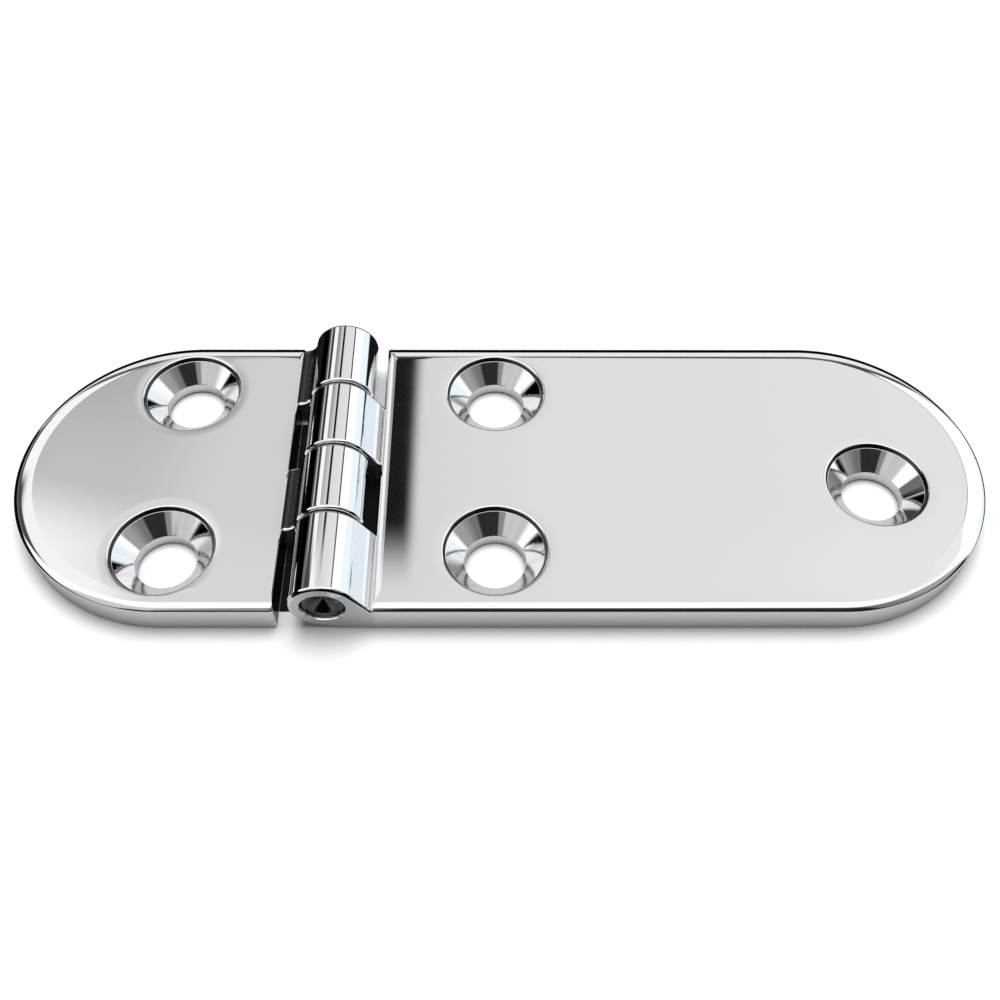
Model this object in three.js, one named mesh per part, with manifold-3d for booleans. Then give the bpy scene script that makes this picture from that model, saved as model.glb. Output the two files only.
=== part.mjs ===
// A cast strap hinge: a short leaf and a long leaf with round ends, countersunk for screws, on one pin.
// Millimetres, +Z up. The leaves lie open and flat with their undersides on z = 0, the pin runs along Y,
// and the origin is the middle of the footprint. The short leaf points to -X and the long leaf to +X.
import * as THREE from "three";
import { mergeVertices, toCreasedNormals } from "three/addons/utils/BufferGeometryUtils.js";
import Module from "manifold-3d";

const wasm = await Module();
wasm.setup();

// Pin
const PIN_RADIUS = 2.3;
const PIN_CLEARANCE = 0.05; // between the pin and its bore, on the radius
const PIN_RECESS = 0.4; // from each end of the barrel to the end of the pin
const PIN_CHAMFER = 0.2;
const DIMPLE_RADIUS = 1.75; // the cone punched into each end of the pin
const DIMPLE_DEPTH = 0.9;

// Barrel
const BORE_RADIUS = PIN_RADIUS + PIN_CLEARANCE;
const BORE_CHAMFER = 0.25;
const KNUCKLE_WALL = 1.45;
const BARREL_RADIUS = BORE_RADIUS + KNUCKLE_WALL;
const BARREL_LIFT = 0.35; // from the mounting plane to the bottom of the barrel
const AXIS_HEIGHT = BARREL_RADIUS + BARREL_LIFT;
const KNUCKLES = 4; // the first, at +Y, belongs to the short leaf, and then they alternate
const LAST_KNUCKLE_LENGTH = 10.3; // the others share what is left of the width
const KNUCKLE_GAP = 0.25;
const KNUCKLE_CHAMFER = 0.35; // round each knuckle's ends

// Leaves
const LEAF_WIDTH = 38; // along the pin
const SHORT_REACH = 37; // from the pin's axis to the tip
const LONG_REACH = 75;
const SHORT_NOTCH = 1.6; // from the barrel to the leaf's inner edge
const LONG_NOTCH = 1.2;
const CLOSING_GAP = 0.3; // between the two faces when the leaves are folded together
const LEAF_THICKNESS = AXIS_HEIGHT - CLOSING_GAP / 2;
const EDGE_ROUND = 0.55; // radius of the leaf's upper edge
const FOOT_DROP = 0.1; // from where that rounding starts down to the foot of each arm
const ARM_ROOT = 1.5; // how far each arm reaches into its leaf
const HEEL_LENGTH = 2.4; // from the pin's axis to where an arm's underside levels out

// Screw holes
const HOLE_RADIUS = 3.4;
const COUNTERSINK_RADIUS = 5.9; // of a 90 degree cone
const PAIR_FROM_SHORT_TIP = 18.6; // both pairs line up when the leaves are folded together
const PAIR_FROM_SIDE = 7.6; // from the leaf's long side to the middle of a hole
const LAST_FROM_LONG_TIP = 12.7;
const LAST_OFFSET = -2.3; // of the last hole from the leaf's centre line, along Y

// Facets
const ROUND_SEGMENTS = 48; // round a bore, a pin or a leaf's end
const BARREL_SEGMENTS = 36; // round a knuckle's profile
const FILLET_SEGMENTS = 8;
const EDGE_SEGMENTS = 4; // across the leaf's upper edge
const OVERRUN = 1; // how far a cutting tool runs past the metal
const CREASE_ANGLE = Math.PI / 7; // facets that meet at less are shaded as one smooth surface

const POLISHED_STEEL = { color: 0xd6d7da, roughness: 0.07, metalness: 1 };
const PIN_STEEL = { color: 0x8f9093, roughness: 0.32, metalness: 1 };

// A manifold solid from a closed geometry.
function solidOf(geometry) {
  const bare = geometry.clone();
  bare.deleteAttribute("normal");
  bare.deleteAttribute("uv");
  const merged = mergeVertices(bare, 1e-5);
  return new wasm.Manifold(
    new wasm.Mesh({
      numProp: 3,
      vertProperties: new Float32Array(merged.attributes.position.array),
      triVerts: new Uint32Array(merged.index.array),
    }),
  );
}

function geometryOf(solid) {
  const { vertProperties, triVerts } = solid.getMesh();
  const geometry = new THREE.BufferGeometry();
  geometry.setAttribute("position", new THREE.BufferAttribute(vertProperties, 3));
  geometry.setIndex(new THREE.BufferAttribute(triVerts, 1));
  return toCreasedNormals(geometry, CREASE_ANGLE);
}

// A closed solid along Z through anticlockwise outlines that all have the same number of points.
function loft(sections) {
  const count = sections[0].outline.length;
  const positions = sections.flatMap(({ outline, z }) => outline.flatMap((p) => [p.x, p.y, z]));
  const index = [];
  for (let ring = 0; ring + 1 < sections.length; ring++) {
    for (let i = 0; i < count; i++) {
      const a = ring * count + i;
      const b = ring * count + ((i + 1) % count);
      index.push(a, b, b + count, a, b + count, a + count);
    }
  }
  for (const [a, b, c] of THREE.ShapeUtils.triangulateShape(sections[0].outline, [])) {
    index.push(c, b, a);
  }
  const last = (sections.length - 1) * count;
  for (const [a, b, c] of THREE.ShapeUtils.triangulateShape(sections.at(-1).outline, [])) {
    index.push(last + a, last + b, last + c);
  }
  const geometry = new THREE.BufferGeometry();
  geometry.setAttribute("position", new THREE.Float32BufferAttribute(positions, 3));
  geometry.setIndex(index);
  return geometry;
}

// Points on a circle, both ends included; the turn is anticlockwise when the end angle is the larger.
function arc(x, y, radius, from, to, segments) {
  return Array.from({ length: segments + 1 }, (_, i) => {
    const angle = from + ((to - from) * i) / segments;
    return new THREE.Vector2(x + radius * Math.cos(angle), y + radius * Math.sin(angle));
  });
}

// An outline drawn for a leaf that points to +X, turned over for one that points to -X.
function facing(side, outline) {
  if (side > 0) return outline;
  return outline.map((p) => new THREE.Vector2(-p.x, p.y)).reverse();
}

// The leaf seen from above, drawn in by an inset all round.
function plateOutline({ edge, reach }, inset) {
  const half = LEAF_WIDTH / 2 - inset;
  const tip = arc(reach - LEAF_WIDTH / 2, 0, half, -Math.PI / 2, Math.PI / 2, ROUND_SEGMENTS);
  return [new THREE.Vector2(edge + inset, -half), ...tip, new THREE.Vector2(edge + inset, half)];
}

function plate(leaf) {
  const sections = [{ outline: plateOutline(leaf, 0), z: 0 }];
  for (let i = 0; i <= EDGE_SEGMENTS; i++) {
    const turn = ((Math.PI / 2) * i) / EDGE_SEGMENTS;
    const inset = EDGE_ROUND * (1 - Math.cos(turn));
    const z = LEAF_THICKNESS - EDGE_ROUND * (1 - Math.sin(turn));
    sections.push({ outline: plateOutline(leaf, inset), z });
  }
  return loft(sections.map(({ outline, z }) => ({ outline: facing(leaf.side, outline), z })));
}

// The long leaf's arm runs straight from its foot to a tangent on the barrel.
function straightShoulder(foot, radius) {
  const start = Math.atan2(foot.y, foot.x) + Math.acos(radius / foot.length());
  return { points: [foot], start };
}

// The short leaf's arm sweeps up from its foot in a hollow fillet that meets the barrel on a tangent.
function sweptShoulder(foot, radius) {
  const fillet = (foot.lengthSq() - radius * radius) / (2 * (radius - foot.y));
  const centre = new THREE.Vector2(foot.x, foot.y + fillet);
  const start = centre.angle();
  const points = arc(centre.x, centre.y, fillet, 1.5 * Math.PI, Math.PI + start, FILLET_SEGMENTS);
  return { points, start };
}

// A knuckle and its arm seen along the pin, from the pin's axis, with the barrel drawn in by an inset.
function knuckleOutline({ edge, shoulder }, inset) {
  const radius = BARREL_RADIUS - inset;
  const underside = -AXIS_HEIGHT;
  const footHeight = LEAF_THICKNESS - EDGE_ROUND - FOOT_DROP - AXIS_HEIGHT - inset;
  const foot = new THREE.Vector2(edge, footHeight);
  const heel = new THREE.Vector2(HEEL_LENGTH, underside);
  const { points, start } = shoulder(foot, radius);
  const end = Math.atan2(heel.y, heel.x) - Math.acos(radius / heel.length()) + 2 * Math.PI;
  const root = edge + ARM_ROOT;
  return [
    heel,
    new THREE.Vector2(root, underside),
    new THREE.Vector2(root, footHeight),
    ...points,
    ...arc(0, 0, radius, start, end, BARREL_SEGMENTS),
  ];
}

function knuckle(leaf, from, to) {
  const half = (to - from) / 2;
  const stations = [
    [-half, KNUCKLE_CHAMFER],
    [KNUCKLE_CHAMFER - half, 0],
    [half - KNUCKLE_CHAMFER, 0],
    [half, KNUCKLE_CHAMFER],
  ];
  const sections = stations.map(([z, inset]) => ({
    outline: facing(leaf.side, knuckleOutline(leaf, inset)),
    z,
  }));
  return loft(sections).rotateX(Math.PI / 2).translate(0, (from + to) / 2, AXIS_HEIGHT);
}

// The lengths along the pin that a leaf's knuckles take, from +Y to -Y, with their running gaps left out.
function knuckleSpans(leaf) {
  const common = (LEAF_WIDTH - LAST_KNUCKLE_LENGTH) / (KNUCKLES - 1);
  const spans = [];
  for (let i = leaf.firstKnuckle; i < KNUCKLES; i += 2) {
    const outerEnd = i === 0;
    const innerEnd = i === KNUCKLES - 1;
    const to = LEAF_WIDTH / 2 - i * common - (outerEnd ? 0 : KNUCKLE_GAP / 2);
    const from = innerEnd ? -LEAF_WIDTH / 2 : LEAF_WIDTH / 2 - (i + 1) * common + KNUCKLE_GAP / 2;
    spans.push([from, to]);
  }
  return spans;
}

// A turned solid about Y from a profile of [radius, y] pairs that starts and ends on the axis.
function turned(profile) {
  return new THREE.LatheGeometry(profile.map(([r, y]) => new THREE.Vector2(r, y)), ROUND_SEGMENTS);
}

// What the drill takes out for the pin, with a small chamfer at each end of the barrel.
function bore() {
  const face = LEAF_WIDTH / 2;
  const mouth = BORE_RADIUS + BORE_CHAMFER + OVERRUN;
  return turned([
    [0, -face - OVERRUN],
    [mouth, -face - OVERRUN],
    [BORE_RADIUS, BORE_CHAMFER - face],
    [BORE_RADIUS, face - BORE_CHAMFER],
    [mouth, face + OVERRUN],
    [0, face + OVERRUN],
  ]).translate(0, 0, AXIS_HEIGHT);
}

// What the drill takes out for one countersunk screw.
function screwHole([x, y]) {
  const coneStart = LEAF_THICKNESS - (COUNTERSINK_RADIUS - HOLE_RADIUS);
  return turned([
    [0, -OVERRUN],
    [HOLE_RADIUS, -OVERRUN],
    [HOLE_RADIUS, coneStart],
    [COUNTERSINK_RADIUS + OVERRUN, LEAF_THICKNESS + OVERRUN],
    [0, LEAF_THICKNESS + OVERRUN],
  ])
    .rotateX(Math.PI / 2)
    .translate(x, y, 0);
}

function leafGeometry(leaf) {
  let solid = solidOf(plate(leaf));
  for (const [from, to] of knuckleSpans(leaf)) solid = solid.add(solidOf(knuckle(leaf, from, to)));
  solid = solid.subtract(solidOf(bore()));
  for (const hole of leaf.holes) solid = solid.subtract(solidOf(screwHole(hole)));
  return geometryOf(solid);
}

// A round pin with chamfered ends and a cone punched into each of them.
function pinGeometry() {
  const end = LEAF_WIDTH / 2 - PIN_RECESS;
  return turned([
    [0, DIMPLE_DEPTH - end],
    [DIMPLE_RADIUS, -end],
    [PIN_RADIUS - PIN_CHAMFER, -end],
    [PIN_RADIUS, PIN_CHAMFER - end],
    [PIN_RADIUS, end - PIN_CHAMFER],
    [PIN_RADIUS - PIN_CHAMFER, end],
    [DIMPLE_RADIUS, end],
    [0, end - DIMPLE_DEPTH],
  ]);
}

function part(name, geometry, finish) {
  const mesh = new THREE.Mesh(geometry, new THREE.MeshStandardMaterial(finish));
  mesh.name = name;
  return mesh;
}

const pairReach = SHORT_REACH - PAIR_FROM_SHORT_TIP;
const pairSide = LEAF_WIDTH / 2 - PAIR_FROM_SIDE;

const shortLeaf = {
  side: -1,
  reach: SHORT_REACH,
  edge: BARREL_RADIUS + SHORT_NOTCH,
  shoulder: sweptShoulder,
  firstKnuckle: 0,
  holes: [
    [-pairReach, pairSide],
    [-pairReach, -pairSide],
  ],
};

const longLeaf = {
  side: 1,
  reach: LONG_REACH,
  edge: BARREL_RADIUS + LONG_NOTCH,
  shoulder: straightShoulder,
  firstKnuckle: 1,
  holes: [
    [pairReach, pairSide],
    [pairReach, -pairSide],
    [LONG_REACH - LAST_FROM_LONG_TIP, LAST_OFFSET],
  ],
};

const pin = part("hinge_pin", pinGeometry(), PIN_STEEL);
pin.position.z = AXIS_HEIGHT;

const assembly = new THREE.Group();
assembly.position.x = (SHORT_REACH - LONG_REACH) / 2;
assembly.add(
  part("short_leaf", leafGeometry(shortLeaf), POLISHED_STEEL),
  part("long_leaf", leafGeometry(longLeaf), POLISHED_STEEL),
  pin,
);

const hinge = new THREE.Group();
hinge.add(assembly);

export default hinge;
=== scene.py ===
"""A polished cast strap hinge lying open on a white sheet: two countersunk leaves on one pin.

Sizes are in millimetres in the part's frame and become metres when a mesh is made.
The pin runs along Y; the short leaf points to -X and the long leaf to +X.
"""

import math

import bmesh
import bpy
from mathutils import Matrix, Vector


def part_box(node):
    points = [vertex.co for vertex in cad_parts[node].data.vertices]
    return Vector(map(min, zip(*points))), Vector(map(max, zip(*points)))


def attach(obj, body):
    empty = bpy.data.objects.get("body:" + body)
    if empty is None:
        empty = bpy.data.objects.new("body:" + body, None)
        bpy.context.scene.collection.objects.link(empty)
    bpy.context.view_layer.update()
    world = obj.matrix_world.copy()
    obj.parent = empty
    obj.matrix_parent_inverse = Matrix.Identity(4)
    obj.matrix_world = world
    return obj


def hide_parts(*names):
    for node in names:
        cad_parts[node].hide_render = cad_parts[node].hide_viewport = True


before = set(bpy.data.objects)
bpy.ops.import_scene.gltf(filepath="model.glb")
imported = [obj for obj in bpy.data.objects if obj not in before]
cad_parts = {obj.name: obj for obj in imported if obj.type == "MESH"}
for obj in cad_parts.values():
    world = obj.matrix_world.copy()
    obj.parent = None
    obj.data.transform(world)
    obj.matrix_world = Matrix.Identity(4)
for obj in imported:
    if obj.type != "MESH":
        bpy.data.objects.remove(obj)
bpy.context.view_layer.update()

MM = 0.001


def box_mm(node):
    """A CAD node's lowest and highest corners in millimetres."""
    return [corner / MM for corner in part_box(node)]


PIN_LOW, PIN_HIGH = box_mm("hinge_pin")
SHORT_LOW, _ = box_mm("short_leaf")
LONG_LOW, LONG_HIGH = box_mm("long_leaf")

AXIS_X = (PIN_LOW.x + PIN_HIGH.x) / 2
AXIS_Z = (PIN_LOW.z + PIN_HIGH.z) / 2
PIN_RADIUS = (PIN_HIGH.x - PIN_LOW.x) / 2
PIN_END = PIN_HIGH.y
BARREL_RADIUS = AXIS_X - LONG_LOW.x
SIDE = LONG_HIGH.y  # half of the leaves' width
SHORT_REACH = AXIS_X - SHORT_LOW.x
LONG_REACH = LONG_HIGH.x - AXIS_X

# The rest of the part's own sizes
LEAF_THICKNESS = 4.0
SHORT_EDGE = BARREL_RADIUS + 1.6  # from the pin's axis to the short leaf's inner edge
LONG_EDGE = BARREL_RADIUS + 1.2
BORE_RADIUS = PIN_RADIUS + 0.05
BORE_CHAMFER = 0.15
BORE_CHAMFER_DEPTH = 0.3
KNUCKLES = 4
LAST_KNUCKLE = 10.3
KNUCKLE_GAP = 0.25
FOOT_HEIGHT = 3.35  # where each arm meets its leaf's inner edge
ARM_ROOT = 1.5
HEEL = 2.4
HOLE_RADIUS = 3.4
COUNTERSINK_RADIUS = 5.9
DIMPLE_RADIUS = 1.75
DIMPLE_DEPTH = 0.9
PAIR_REACH = 18.4  # from the pin's axis to each pair of holes
PAIR_SIDE = 11.4
LAST_REACH = 62.3
LAST_OFFSET = -2.3

# Finish of the edges
KNUCKLE_ROUND = 0.42
PIN_ROUND = 0.16
EXIT_BEVEL = 0.2  # round each hole's lower edge
BOTTOM_ROUND = 0.14
CORNER_ROUND = 0.3
RIM_ROUND = 0.22  # where the rim turns over into the side wall
# Curves are rows of tilt at the start, tilt at the end, length and steps.
# From the wall in to the face
RIM_RUNS = [
    (90, 47, RIM_ROUND * math.radians(43), 8),
    (47, 12, 0.8, 14),
    (12, 7.5, 0.28, 4),
    (7.5, 6.2, 0.8, 6),
    (6.2, 5.4, 0.34, 3),
    (5.4, 0.4, 0.12, 4),
]
THROAT_ROUND = 0.4  # between the hole and the countersink's cone
LIP_TILT = 53  # of the step between the cone and the lip, which gets a painted dark reflection
CONE_TOP_RADIUS = 5.47
CONE_TOP_HEIGHT = 3.44
# From the cone out to the face
LIP_RUNS = [
    (20, 20, 0.06, 1),
    (LIP_TILT, LIP_TILT, 0.46, 2),
    (50, 12, 0.2, 7),
    (12, 3, 0.1, 3),
]

# Facets
END_STEPS = 144
BARREL_STEPS = 120
TURN_STEPS = 144
PIN_STEPS = 96
CORNER_STEPS = 5
FILLET_STEPS = 24
ROUND_STEPS = 7
THROAT_STEPS = 8

OVERRUN = 1.0  # how far a cutting tool reaches past what it cuts
ABOVE_FACE = 0.02  # where the lip's curve leaves the leaf's top face
SAME_POINT = 2e-7  # in metres
NO_LENGTH = 1e-7


# ---------------------------------------------------------------- mesh tools


def arc(x, y, radius, start, end, steps):
    """Points on a circle, both ends included; angles in degrees."""
    angles = [math.radians(start + (end - start) * i / steps) for i in range(steps + 1)]
    return [(x + radius * math.cos(a), y + radius * math.sin(a)) for a in angles]


def new_object(name, bm):
    bmesh.ops.recalc_face_normals(bm, faces=bm.faces)
    bmesh.ops.scale(bm, vec=Vector((MM, MM, MM)), verts=bm.verts)
    mesh = bpy.data.meshes.new(name)
    bm.to_mesh(mesh)
    bm.free()
    obj = bpy.data.objects.new(name, mesh)
    bpy.context.scene.collection.objects.link(obj)
    return obj


def loft(name, rings):
    """A closed solid through rings of 3-D points that all have the same number of points."""
    bm = bmesh.new()
    layers = [[bm.verts.new(point) for point in ring] for ring in rings]
    count = len(rings[0])
    for low, high in zip(layers, layers[1:]):
        for i in range(count):
            j = (i + 1) % count
            bm.faces.new((low[i], low[j], high[j], high[i]))
    bm.faces.new(list(reversed(layers[0])))
    bm.faces.new(layers[-1])
    return new_object(name, bm)


def lathe(name, profile, place, steps=TURN_STEPS):
    """A closed solid turned from (radius, height) pairs that start and end on the axis."""
    bm = bmesh.new()
    first = bm.verts.new(place(0, 0, profile[0][1]))
    last = bm.verts.new(place(0, 0, profile[-1][1]))
    rings = []
    for radius, height in profile[1:-1]:
        ring = arc(0, 0, radius, 0, 360 * (steps - 1) / steps, steps - 1)
        rings.append([bm.verts.new(place(x, y, height)) for x, y in ring])
    for i in range(steps):
        j = (i + 1) % steps
        bm.faces.new((first, rings[0][i], rings[0][j]))
        bm.faces.new((last, rings[-1][j], rings[-1][i]))
        for low, high in zip(rings, rings[1:]):
            bm.faces.new((low[i], high[i], high[j], low[j]))
    return new_object(name, bm)


def combine(target, tool, operation):
    """Applies a boolean to the target and removes the tool."""
    modifier = target.modifiers.new("combine", "BOOLEAN")
    modifier.operation = operation
    modifier.solver = "MANIFOLD"
    modifier.object = tool
    graph = bpy.context.evaluated_depsgraph_get()
    mesh = bpy.data.meshes.new_from_object(target.evaluated_get(graph))
    target.modifiers.clear()
    old = target.data
    target.data = mesh
    bpy.data.meshes.remove(old)
    bpy.data.objects.remove(tool)


def finish_mesh(obj, sharp_degrees=28):
    """Smooth shading with hard edges kept; weighted normals make the flats true mirrors."""
    mesh = obj.data
    bm = bmesh.new()
    bm.from_mesh(mesh)
    bmesh.ops.remove_doubles(bm, verts=bm.verts, dist=SAME_POINT)
    bmesh.ops.dissolve_degenerate(bm, dist=NO_LENGTH, edges=bm.edges)
    bm.to_mesh(mesh)
    bm.free()
    mesh.shade_smooth()
    mesh.set_sharp_from_angle(angle=math.radians(sharp_degrees))
    weighted = obj.modifiers.new("weighted", "WEIGHTED_NORMAL")
    weighted.mode = "FACE_AREA"
    weighted.weight = 100
    weighted.keep_sharp = True
    graph = bpy.context.evaluated_depsgraph_get()
    made = bpy.data.meshes.new_from_object(obj.evaluated_get(graph))
    obj.modifiers.clear()
    obj.data = made
    made.name = obj.name
    bpy.data.meshes.remove(mesh)


# ---------------------------------------------------------------- the leaves


def walk(across, up, runs):
    """Points along a curve from a start; each run goes from one tilt to another over its length."""
    points = []
    for start, end, length, steps in runs:
        for i in range(steps):
            tilt = math.radians(start + (end - start) * (i + 0.5) / steps)
            across += length / steps * math.cos(tilt)
            up += length / steps * math.sin(tilt)
            points.append((across, up))
    return points


def rim_profile():
    """(inset, height) from the top of the side wall, over the rim, to the flat face."""
    points = [(0.0, 0.0)] + walk(0.0, 0.0, RIM_RUNS)
    drop = LEAF_THICKNESS - points[-1][1]
    return [(inset, height + drop) for inset, height in points]


def plate_outline(leaf, inset):
    """The leaf seen from above, anticlockwise, pointing to +X from the pin's axis."""
    half = SIDE - inset
    left = leaf["edge"] + leaf["inner_rim"] * inset
    reach = leaf["reach"]
    corner = CORNER_ROUND
    return (
        arc(left + corner, corner - half, corner, 180, 270, CORNER_STEPS)
        + arc(reach - SIDE, 0, half, -90, 90, END_STEPS)
        + arc(left + corner, half - corner, corner, 90, 180, CORNER_STEPS)
    )


def plate(name, leaf):
    levels = [(BOTTOM_ROUND, 0.0), (BOTTOM_ROUND * 0.3, BOTTOM_ROUND * 0.3), (0.0, BOTTOM_ROUND)]
    levels += rim_profile()
    rings = []
    for inset, height in levels:
        outline = plate_outline(leaf, inset)
        rings.append([(AXIS_X + leaf["side"] * x, y, height) for x, y in outline])
    return loft(name, rings)


def straight_shoulder(foot, radius):
    """From the foot straight up to a tangent on the barrel."""
    start = math.atan2(foot.y, foot.x) + math.acos(radius / foot.length)
    return [foot], start


def swept_shoulder(foot, radius):
    """From the foot up a hollow fillet that meets the barrel on a tangent."""
    fillet = (foot.length_squared - radius * radius) / (2 * (radius - foot.y))
    centre = Vector((foot.x, foot.y + fillet))
    start = math.atan2(centre.y, centre.x)
    sweep = arc(centre.x, centre.y, fillet, 270, 180 + math.degrees(start), FILLET_STEPS)
    return [Vector(p) for p in sweep], start


def knuckle_outline(leaf, inset):
    """A knuckle and its arm seen along the pin, from the pin's axis."""
    radius = BARREL_RADIUS - inset
    foot = Vector((leaf["edge"], FOOT_HEIGHT - AXIS_Z - inset))
    heel = Vector((HEEL, -AXIS_Z))
    points, start = leaf["shoulder"](foot, radius)
    end = math.atan2(heel.y, heel.x) - math.acos(radius / heel.length) + 2 * math.pi
    root = leaf["edge"] + ARM_ROOT
    return (
        [tuple(heel), (root, -AXIS_Z), (root, foot.y)]
        + [tuple(p) for p in points]
        + arc(0, 0, radius, math.degrees(start), math.degrees(end), BARREL_STEPS)
    )


def knuckle(leaf, low, high):
    """A knuckle with its arm, from one place along the pin to another, with rounded ends."""
    stations = []
    for i in range(ROUND_STEPS + 1):
        turn = math.radians(90 * i / ROUND_STEPS)
        along = KNUCKLE_ROUND * (1 - math.cos(turn))
        stations.append((along, KNUCKLE_ROUND * (1 - math.sin(turn))))
    levels = [(low + y, inset) for y, inset in stations]
    levels += [(high - y, inset) for y, inset in reversed(stations)]
    rings = []
    for y, inset in levels:
        outline = knuckle_outline(leaf, inset)
        rings.append([(AXIS_X + leaf["side"] * x, y, AXIS_Z + z) for x, z in outline])
    return loft("knuckle", rings)


def knuckle_spans(first):
    """The lengths along the pin that a leaf's knuckles take, with the running gaps left out."""
    common = (2 * SIDE - LAST_KNUCKLE) / (KNUCKLES - 1)
    spans = []
    for i in range(first, KNUCKLES, 2):
        high = SIDE - i * common - (KNUCKLE_GAP / 2 if i else 0)
        low = SIDE - (i + 1) * common + KNUCKLE_GAP / 2
        spans.append((low if i < KNUCKLES - 1 else -SIDE, high))
    return spans


def bore():
    """What comes out of the knuckles for the pin, bevelled at both ends."""
    mouth = BORE_RADIUS + BORE_CHAMFER * (1 + OVERRUN / BORE_CHAMFER_DEPTH)
    profile = [
        (0, -SIDE - OVERRUN),
        (mouth, -SIDE - OVERRUN),
        (BORE_RADIUS, BORE_CHAMFER_DEPTH - SIDE),
        (BORE_RADIUS, SIDE - BORE_CHAMFER_DEPTH),
        (mouth, SIDE + OVERRUN),
        (0, SIDE + OVERRUN),
    ]
    return lathe("bore", profile, lambda x, y, h: (AXIS_X + x, h, AXIS_Z + y))


def screw_hole(centre_x, centre_y):
    """What comes out for one screw: an exit bevel, a bore, a cone, a steep step and a soft lip."""
    round_rise = THROAT_ROUND * math.sin(math.radians(45))
    round_run = THROAT_ROUND * (1 - math.cos(math.radians(45)))
    cone_drop = CONE_TOP_RADIUS - HOLE_RADIUS - round_run
    throat = (HOLE_RADIUS, CONE_TOP_HEIGHT - cone_drop - round_rise)
    throat_runs = [(90, 45, THROAT_ROUND * math.radians(45), THROAT_STEPS)]
    lip = walk(CONE_TOP_RADIUS, CONE_TOP_HEIGHT, LIP_RUNS)
    above = LEAF_THICKNESS + ABOVE_FACE
    last_run = (above - lip[-1][1]) / math.tan(math.radians(LIP_RUNS[-1][1]))
    profile = [
        (0, -OVERRUN),
        (HOLE_RADIUS + EXIT_BEVEL + OVERRUN, -OVERRUN),
        (HOLE_RADIUS, EXIT_BEVEL),
        throat,
        *walk(*throat, throat_runs),
        (CONE_TOP_RADIUS, CONE_TOP_HEIGHT),
        *lip,
        (lip[-1][0] + last_run, above),
        (COUNTERSINK_RADIUS + OVERRUN, LEAF_THICKNESS + OVERRUN),
        (0, LEAF_THICKNESS + OVERRUN),
    ]
    return lathe("screw_hole", profile, lambda x, y, h: (centre_x + x, centre_y + y, h))


def build_leaf(name, leaf):
    obj = plate(name, leaf)
    for low, high in knuckle_spans(leaf["first"]):
        combine(obj, knuckle(leaf, low, high), "UNION")
    combine(obj, bore(), "DIFFERENCE")
    for x, y in leaf["holes"]:
        combine(obj, screw_hole(x, y), "DIFFERENCE")
    finish_mesh(obj)
    return obj


def build_pin(name):
    """A round pin with softened ends and a cone punched into each of them."""
    half = [
        (PIN_RADIUS, PIN_END - PIN_ROUND),
        (PIN_RADIUS - 0.3 * PIN_ROUND, PIN_END - 0.3 * PIN_ROUND),
        (PIN_RADIUS - PIN_ROUND, PIN_END),
        (DIMPLE_RADIUS + 0.05, PIN_END),
        (DIMPLE_RADIUS - 0.03, PIN_END - 0.03),
        (0.12, PIN_END - DIMPLE_DEPTH + 0.04),
    ]
    tip = (0, PIN_END - DIMPLE_DEPTH)
    profile = [(0, -tip[1])] + [(r, -h) for r, h in reversed(half)] + half + [tip]
    obj = lathe(name, profile, lambda x, y, h: (AXIS_X + x, h, AXIS_Z + y), PIN_STEPS)
    finish_mesh(obj, 35)
    return obj


SHORT_HOLES = [(AXIS_X - PAIR_REACH, PAIR_SIDE), (AXIS_X - PAIR_REACH, -PAIR_SIDE)]
LONG_HOLES = [
    (AXIS_X + PAIR_REACH, PAIR_SIDE),
    (AXIS_X + PAIR_REACH, -PAIR_SIDE),
    (AXIS_X + LAST_REACH, LAST_OFFSET),
]
SHORT = {
    "side": -1,
    "edge": SHORT_EDGE,
    "reach": SHORT_REACH,
    "shoulder": swept_shoulder,
    "painted_shade_recess": True,  # its arms' hollow fillets and inner wall get near-black steel: painted shade in the notches
    "inner_rim": 0.15,  # how wide the rim is beside the barrel against the rest of it
    "first": 0,
    "holes": SHORT_HOLES,
}
LONG = {
    "side": 1,
    "edge": LONG_EDGE,
    "reach": LONG_REACH,
    "shoulder": straight_shoulder,
    "painted_shade_recess": False,
    "inner_rim": 0.5,
    "first": 1,
    "holes": LONG_HOLES,
}


# ---------------------------------------------------------------- node tools


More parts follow.
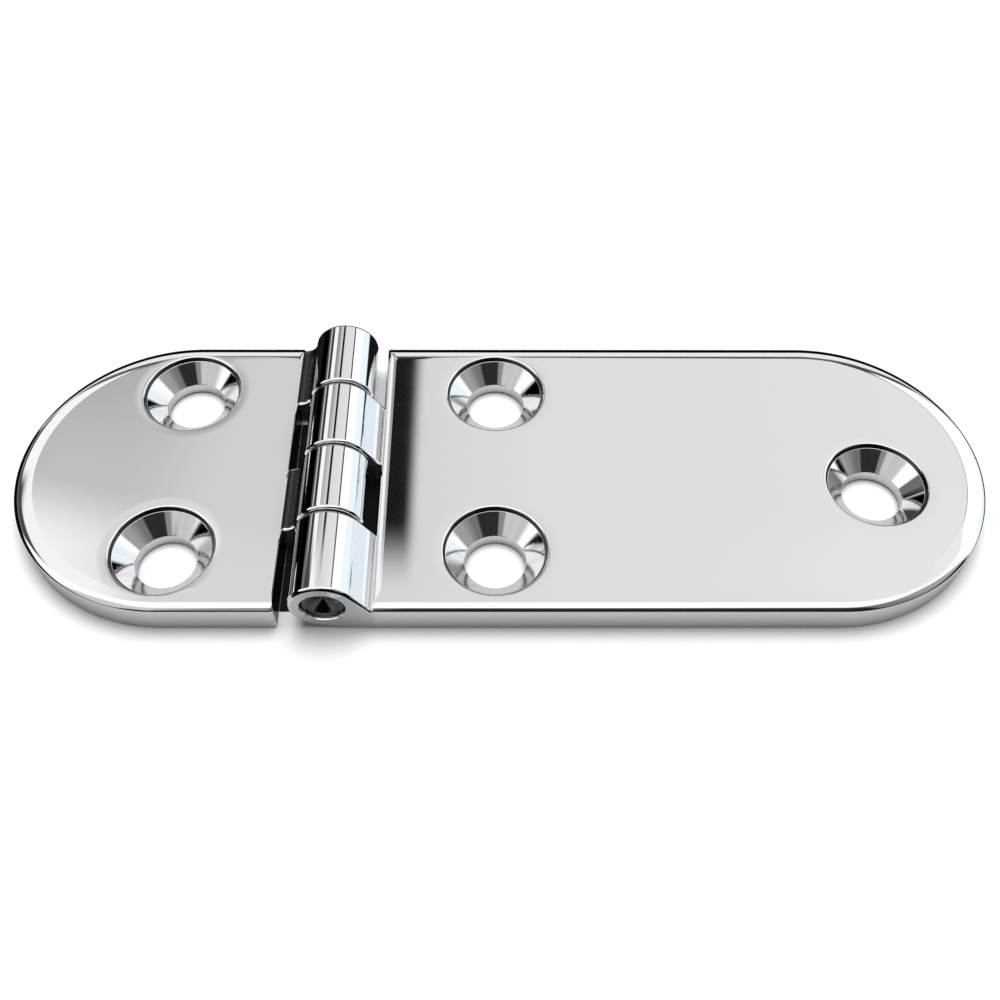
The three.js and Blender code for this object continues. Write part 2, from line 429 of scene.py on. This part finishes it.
class Graph:
    """Short ways to write a node tree."""

    def __init__(self, tree):
        self.tree = tree
        tree.nodes.clear()

    def node(self, kind, settings=None, **inputs):
        made = self.tree.nodes.new(kind)
        for key, value in (settings or {}).items():
            setattr(made, key, value)
        for key, value in inputs.items():
            self.put(made.inputs[key.replace("_", " ")], value)
        return made

    def put(self, socket, value):
        if isinstance(value, bpy.types.NodeSocket):
            self.tree.links.new(value, socket)
        else:
            socket.default_value = value

    def math(self, operation, *values):
        made = self.tree.nodes.new("ShaderNodeMath")
        made.operation = operation
        for socket, value in zip(made.inputs, values):
            self.put(socket, value)
        return made.outputs[0]

    def vector(self, operation, *values, output=0):
        made = self.tree.nodes.new("ShaderNodeVectorMath")
        made.operation = operation
        for socket, value in zip(made.inputs, values):
            self.put(socket, value)
        return made.outputs[output]

    def smooth(self, value, low, high, to_low=0.0, to_high=1.0):
        """A soft step from one value to another as the input goes from low to high."""
        made = self.tree.nodes.new("ShaderNodeMapRange")
        made.interpolation_type = "SMOOTHSTEP"
        for socket, item in zip(made.inputs, (value, low, high, to_low, to_high)):
            self.put(socket, item)
        return made.outputs[0]

    def between(self, value, low, high, soft):
        """1 inside a range and 0 outside it, with soft edges."""
        rise = self.smooth(value, low - soft, low + soft)
        fall = self.smooth(value, high - soft, high + soft, 1.0, 0.0)
        return self.math("MULTIPLY", rise, fall)

    def mix(self, factor, first, second):
        made = self.tree.nodes.new("ShaderNodeMix")
        made.data_type = "RGBA"
        self.put(made.inputs[0], factor)
        self.put(made.inputs[6], colour(first))
        self.put(made.inputs[7], colour(second))
        return made.outputs[2]


def colour(value):
    if isinstance(value, bpy.types.NodeSocket):
        return value
    if isinstance(value, (int, float)):
        return (value, value, value, 1.0)
    return (*value, 1.0)


# ---------------------------------------------------------------- materials

STEEL = (0.84, 0.845, 0.855)
# The pin is near black: a painted dark reflection for its ends at the barrel's ends
PIN_PAINTED_DARK = (0.1, 0.1, 0.105)


def steel(name, base, roughness, spread, scratch, grain):
    """Metal with slow changes of gloss, fine scratches and a faint grain."""
    material = bpy.data.materials.new(name)
    material.use_nodes = True
    g = Graph(material.node_tree)
    place = g.node("ShaderNodeTexCoord").outputs["Object"]
    cloud = g.node("ShaderNodeTexNoise", Vector=place, Scale=90.0, Detail=4.0, Roughness=0.55)
    stretched = g.vector("MULTIPLY", place, (1.0, 14.0, 3.0))
    hair = g.node("ShaderNodeTexNoise", Vector=stretched, Scale=700.0, Detail=3.0, Roughness=0.7)
    fine = g.node("ShaderNodeTexNoise", Vector=place, Scale=3200.0, Detail=2.0, Roughness=0.6)
    rough = g.smooth(cloud.outputs[0], 0.3, 0.7, roughness, roughness + spread)
    shade = g.mix(
        g.smooth(hair.outputs[0], 0.35, 0.65), tuple(0.992 * c for c in base), base
    )
    bump = g.node("ShaderNodeBump", Strength=scratch, Distance=0.00002, Height=hair.outputs[0])
    bump = g.node(
        "ShaderNodeBump",
        Strength=grain,
        Distance=0.00002,
        Height=fine.outputs[0],
        Normal=bump.outputs[0],
    )
    shader = g.node("ShaderNodeBsdfPrincipled", Metallic=1.0, Normal=bump.outputs[0])
    g.put(shader.inputs["Base Color"], shade)
    g.put(shader.inputs["Roughness"], rough)
    output = g.node("ShaderNodeOutputMaterial")
    g.put(output.inputs["Surface"], shader.outputs[0])
    return material


def turned_steel(name, base, holes):
    """Metal cut by a turning tool, with fine rings about each hole; streaks out from each hole
    change its gloss and paint reflection streaks into its colour.
    """
    material = bpy.data.materials.new(name)
    material.use_nodes = True
    g = Graph(material.node_tree)
    place = g.node("ShaderNodeTexCoord").outputs["Object"]
    flat = g.vector("MULTIPLY", place, (1.0, 1.0, 0.0))
    distance = None
    bearing = None
    for x, y in holes:
        offset = g.vector("SUBTRACT", flat, (x * MM, y * MM, 0.0))
        here = g.vector("LENGTH", offset, output="Value")
        parts = g.node("ShaderNodeSeparateXYZ", Vector=offset)
        angle = g.math("ARCTAN2", parts.outputs[1], parts.outputs[0])
        if distance is None:
            distance, bearing = here, angle
            continue
        nearer = g.math("LESS_THAN", here, distance)
        chosen = g.node("ShaderNodeMix")
        for socket, value in zip((0, 2, 3), (nearer, bearing, angle)):
            g.put(chosen.inputs[socket], value)
        bearing = chosen.outputs[0]
        distance = g.math("MINIMUM", here, distance)
    rings = g.node(
        "ShaderNodeTexNoise",
        {"noise_dimensions": "1D"},
        W=g.math("MULTIPLY", distance, 1 / MM),
        Scale=9.0,
        Detail=3.0,
        Roughness=0.7,
    )
    around = g.node("ShaderNodeCombineXYZ", X=g.math("SINE", bearing), Y=g.math("COSINE", bearing))
    rays = g.node(
        "ShaderNodeTexNoise", Vector=around.outputs[0], Scale=11.0, Detail=5.0, Roughness=0.75
    )
    # Painted reflection: the colour is darker along the streaks out from each hole
    shade = g.mix(
        g.smooth(rays.outputs[0], 0.38, 0.62), tuple(0.88 * c for c in base), base
    )
    rough = g.smooth(rays.outputs[0], 0.3, 0.7, 0.04, 0.08)
    bump = g.node("ShaderNodeBump", Strength=0.06, Distance=0.00002, Height=rings.outputs[0])
    shader = g.node("ShaderNodeBsdfPrincipled", Metallic=1.0, Normal=bump.outputs[0])
    g.put(shader.inputs["Base Color"], shade)
    g.put(shader.inputs["Roughness"], rough)
    output = g.node("ShaderNodeOutputMaterial")
    g.put(output.inputs["Surface"], shader.outputs[0])
    return material


mirror = steel("mirror_steel", STEEL, 0.025, 0.02, 0.01, 0.0)
satin = steel("satin_steel", STEEL, 0.2, 0.03, 0.05, 0.04)
ground = steel("ground_steel", tuple(0.86 * c for c in STEEL), 0.3, 0.1, 0.6, 0.2)
# Near-black steel: painted shade in the short leaf's notches and a painted dark reflection on each
# countersink's step
painted_shade_metal = steel("painted_shade_steel", (0.07, 0.07, 0.075), 0.22, 0.1, 0.3, 0.2)
pin_finish = steel("pin_steel", PIN_PAINTED_DARK, 0.12, 0.06, 0.2, 0.1)


# The slots of a leaf's finishes and its painted shade
MIRROR, SATIN, GROUND, TURNED, PAINTED_SHADE = range(5)


def paint_leaf(obj, leaf, turned):
    """Gives each face of a leaf its finish from where it lies and which way it looks; a few faces
    get near-black painted shade.
    """
    obj.data.materials.clear()
    for material in (mirror, satin, ground, turned, painted_shade_metal):
        obj.data.materials.append(material)
    for face in obj.data.polygons:
        face.material_index = MIRROR
        centre = face.center / MM
        normal = face.normal
        near_hole = min(math.hypot(centre.x - x, centre.y - y) for x, y in leaf["holes"])
        from_axis = math.hypot(centre.x - AXIS_X, centre.z - AXIS_Z)
        outward = abs(centre.x - AXIS_X)
        stepped = abs(normal.z - math.cos(math.radians(LIP_TILT))) < 0.01
        beside_barrel = from_axis > BARREL_RADIUS + 0.03 and outward < leaf["edge"] + 0.05
        upright = abs(normal.z) < 0.1
        # Painted dark reflection: the steep step at each countersink's lip gets near-black steel
        if near_hole < COUNTERSINK_RADIUS + 0.1 and centre.z > CONE_TOP_HEIGHT and stepped:
            face.material_index = PAINTED_SHADE
        elif near_hole < COUNTERSINK_RADIUS and 0.02 < centre.z < CONE_TOP_HEIGHT:
            face.material_index = TURNED
        elif from_axis < BORE_RADIUS + 0.01:
            face.material_index = GROUND
        elif normal.z < -0.9 and centre.z < 0.05:
            face.material_index = GROUND
        # Painted shade: the short leaf's arm fillets and inner wall beside the barrel get
        # near-black steel
        elif leaf["painted_shade_recess"] and beside_barrel and abs(normal.y) < 0.1:
            face.material_index = PAINTED_SHADE
        elif upright and (outward > leaf["edge"] + 0.5 or abs(normal.y) > 0.97):
            face.material_index = SATIN


# ---------------------------------------------------------------- pieces

short_leaf = build_leaf("short_leaf_polished", SHORT)
long_leaf = build_leaf("long_leaf_polished", LONG)
pin = build_pin("hinge_pin_turned")

paint_leaf(short_leaf, SHORT, turned_steel("turned_short", STEEL, SHORT_HOLES))
paint_leaf(long_leaf, LONG, turned_steel("turned_long", STEEL, LONG_HOLES))
pin.data.materials.clear()
pin.data.materials.append(pin_finish)

for piece in (short_leaf, long_leaf, pin):
    piece.visible_diffuse = False  # the sheet takes no glints from the metal

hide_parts("short_leaf")
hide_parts("long_leaf")
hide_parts("hinge_pin")
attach(short_leaf, "short_leaf")
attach(long_leaf, "long_leaf")
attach(pin, "long_leaf")


# ---------------------------------------------------------------- stage


def sheet(name, low, high, height, shade):
    """A matt rectangle that lies flat; its corners and height are in millimetres."""
    bm = bmesh.new()
    corners = [(low[0], low[1]), (high[0], low[1]), (high[0], high[1]), (low[0], high[1])]
    bm.faces.new([bm.verts.new((x, y, height)) for x, y in corners])
    obj = new_object(name, bm)
    material = bpy.data.materials.new(name)
    material.use_nodes = True
    g = Graph(material.node_tree)
    shader = g.node("ShaderNodeBsdfPrincipled", Roughness=1.0)
    shader.inputs["Base Color"].default_value = colour(shade)
    shader.inputs["Specular IOR Level"].default_value = 0.0
    output = g.node("ShaderNodeOutputMaterial")
    g.put(output.inputs["Surface"], shader.outputs[0])
    obj.data.materials.append(material)
    return obj


# The white sheet that the camera sees
floor = sheet("floor", (-3000, -3000), (3000, 3000), -0.04, 0.9)
floor.visible_glossy = False
# A near-black sheet under the barrel: painted shade in the notches beside it
sheet("painted_shade_under_barrel", (AXIS_X - 5.4, -SIDE + 2), (AXIS_X + 5.2, 9.6), -0.02, 0.012)
# A darker copy of the sheet that only the metal mirrors: painted shade in the sheet's reflection
mirrored = sheet("mirrored_sheet", (-60, -25.5), (60, 22), -0.03, 0.55)
mirrored.visible_camera = False
mirrored.visible_shadow = False
mirrored.visible_diffuse = False


def soft_sun(name, towards, degrees, strength):
    """A broad soft light that lights the sheet and isn't mirrored in the metal."""
    light = bpy.data.lights.new(name, "SUN")
    light.angle = math.radians(degrees)
    light.energy = strength
    obj = bpy.data.objects.new(name, light)
    bpy.context.scene.collection.objects.link(obj)
    obj.rotation_euler = Vector(towards).to_track_quat("Z", "Y").to_euler()
    obj.visible_glossy = False


soft_sun("key", (0.03, 0.26, 0.97), 50, 3.85)
soft_sun("front_fill", (0.0, -0.5, 0.7), 70, 0.22)

WHITE = 1.3
PALE_BLUE = (1.0, 1.11, 1.17)
HORIZON_BLUE = (1.12, 1.16, 1.18)

# What the metal mirrors, as strips that run along the pin. Each row is where a strip starts, in
# degrees of roll about the pin from straight up, how soft that edge is, and the strip's brightness.
# The near strips stand high over the object and the far ones low behind it.
NEAR_STRIPS = [
    (-68, 2, 0.19),
    (-59, 1, 0.07),
    (-39.5, 1.5, 1.07),
    (-21.5, 4.5, 0.79),
    (-2, 6, 0.85),
    (15, 8, 0.92),
    (29.6, 0.8, 0.16),
    (34.0, 0.8, WHITE),
    (60, 8, PALE_BLUE),
    (100, 10, HORIZON_BLUE),
]
FAR_STRIPS = [
    (-67, 1.5, 0.1),
    (-60.5, 1.5, 0.6),
    (-55.5, 1, 0.04),
    (-46, 1.2, 1.1),
    (-32, 1.5, 0.46),
    (-27.5, 2.5, 0.62),
    (-19, 3, 0.74),
    (-12.3, 0.12, 0.012),
    (-5.0, 0.45, 0.8),
    (0, 5, 0.86),
    (20, 8, 0.9),
    (29.2, 0.6, 0.05),
    (34.0, 0.8, WHITE),
    (62, 8, PALE_BLUE),
    (100, 10, HORIZON_BLUE),
]


# What stands in front, in degrees from -Y and with +X positive: where each part starts, where it is
# full, and its brightness.
FRONT_LEFT = 0.7
FRONT_PARTS = [
    (-64, -76, WHITE),
    (-24, -18, 0.3),
    (-10, -6, 0.03),
    (34, 40, 0.2),
    (45, 78, 0.42),
]


def studio():
    """The strips overhead, the pale blue right side, and a dark shape in front."""
    world = bpy.data.worlds.new("studio")
    bpy.context.scene.world = world
    world.use_nodes = True
    g = Graph(world.node_tree)
    direction = g.node("ShaderNodeTexCoord").outputs["Generated"]
    parts = g.node("ShaderNodeSeparateXYZ", Vector=direction)
    x, y, z = parts.outputs
    degrees = 180 / math.pi
    roll = g.math("MULTIPLY", g.math("ARCTAN2", x, z), degrees)  # about the pin, 0 straight up
    reach = g.math("MULTIPLY", g.math("ARCSINE", y), degrees)  # along the pin, 90 is +Y
    rise = g.math("MULTIPLY", g.math("ARCSINE", z), degrees)  # above the horizon
    lean = g.math("MULTIPLY", g.math("ARCTAN2", y, z), degrees)  # about X, 0 straight up
    side = g.math("MULTIPLY", g.math("ARCTAN2", x, g.math("MULTIPLY", y, -1.0)), degrees)

    def strips(rows):
        shade = 0.0
        for start, soft, brightness in rows:
            shade = g.mix(g.smooth(roll, start - soft, start + soft), shade, brightness)
        return shade

    def both(first, second):
        return g.math("MULTIPLY", first, second)

    back = g.mix(g.smooth(reach, 31.0, 34.5), strips(NEAR_STRIPS), strips(FAR_STRIPS))
    # The end of the long leaf's dark strip, past which its near edge is pale
    pale_end = both(g.between(roll, 29.0, 34.6, 0.5), g.smooth(reach, 29.6, 28.4))
    back = g.mix(pale_end, back, 0.97)
    # Shade low behind the short leaf
    shade = both(g.smooth(roll, -14.0, -29.0), g.smooth(reach, 34.0, 44.0))
    back = g.mix(both(shade, g.smooth(roll, -34.0, -29.0)), back, 0.3)
    # A white ceiling
    ceiling = both(g.smooth(reach, 14.0, 9.0), g.smooth(roll, -74.0, -66.0))
    back = g.mix(ceiling, back, WHITE)
    # Low behind, the line, the pale band and the dark that the far rims mirror
    beyond = g.smooth(reach, 43.5, 45.5)
    back = g.mix(both(beyond, g.between(lean, 53.8, 55.6, 0.3)), back, 0.08)
    back = g.mix(both(beyond, g.smooth(lean, 55.4, 56.0)), back, 0.98)
    low_back = both(g.smooth(reach, 43.0, 50.0), g.smooth(lean, 59.0, 62.0))
    back = g.mix(low_back, back, 0.0)

    front = FRONT_LEFT
    for start, full, brightness in FRONT_PARTS:
        front = g.mix(g.smooth(side, start, full), front, brightness)
    front = g.mix(g.smooth(rise, 50.0, 60.0), front, WHITE)
    # Dark near the horizon, which the near rims mirror
    low_front = both(g.smooth(rise, 32.0, 28.0), g.smooth(y, -0.7, -0.78))
    front = g.mix(low_front, front, 0.0)
    front = g.mix(g.smooth(rise, 17.5, 14.0), front, 0.0)

    sky = g.mix(g.smooth(y, -0.06, 0.06), front, back)
    sky = g.mix(g.smooth(rise, -0.5, -4.0), sky, 0.01)
    seen = g.mix(g.node("ShaderNodeLightPath").outputs["Is Camera Ray"], sky, 1.0)
    background = g.node("ShaderNodeBackground", Color=seen, Strength=1.0)
    output = g.node("ShaderNodeOutputWorld")
    g.put(output.inputs["Surface"], background.outputs[0])
    world.cycles_visibility.diffuse = False


studio()

# ---------------------------------------------------------------- camera

# In metres and radians
CAMERA_PLACE = Vector((-0.0006, -0.0820, 0.1116))
CAMERA_YAW = 0.007
CAMERA_PITCH = 0.948
CAMERA_ROLL = 0.006

camera_data = bpy.data.cameras.new("camera")
camera_data.sensor_width = 36.0
camera_data.lens = 42.0
camera_data.clip_start = 0.001
camera = bpy.data.objects.new("camera", camera_data)
bpy.context.scene.collection.objects.link(camera)
camera.matrix_world = (
    Matrix.Translation(CAMERA_PLACE)
    @ Matrix.Rotation(-CAMERA_YAW, 4, "Z")
    @ Matrix.Rotation(math.pi / 2 - CAMERA_PITCH, 4, "X")
    @ Matrix.Rotation(CAMERA_ROLL, 4, "Z")
)
bpy.context.scene.camera = camera
bpy.context.scene.view_settings.view_transform = "Standard"

bpy.context.view_layer.update()
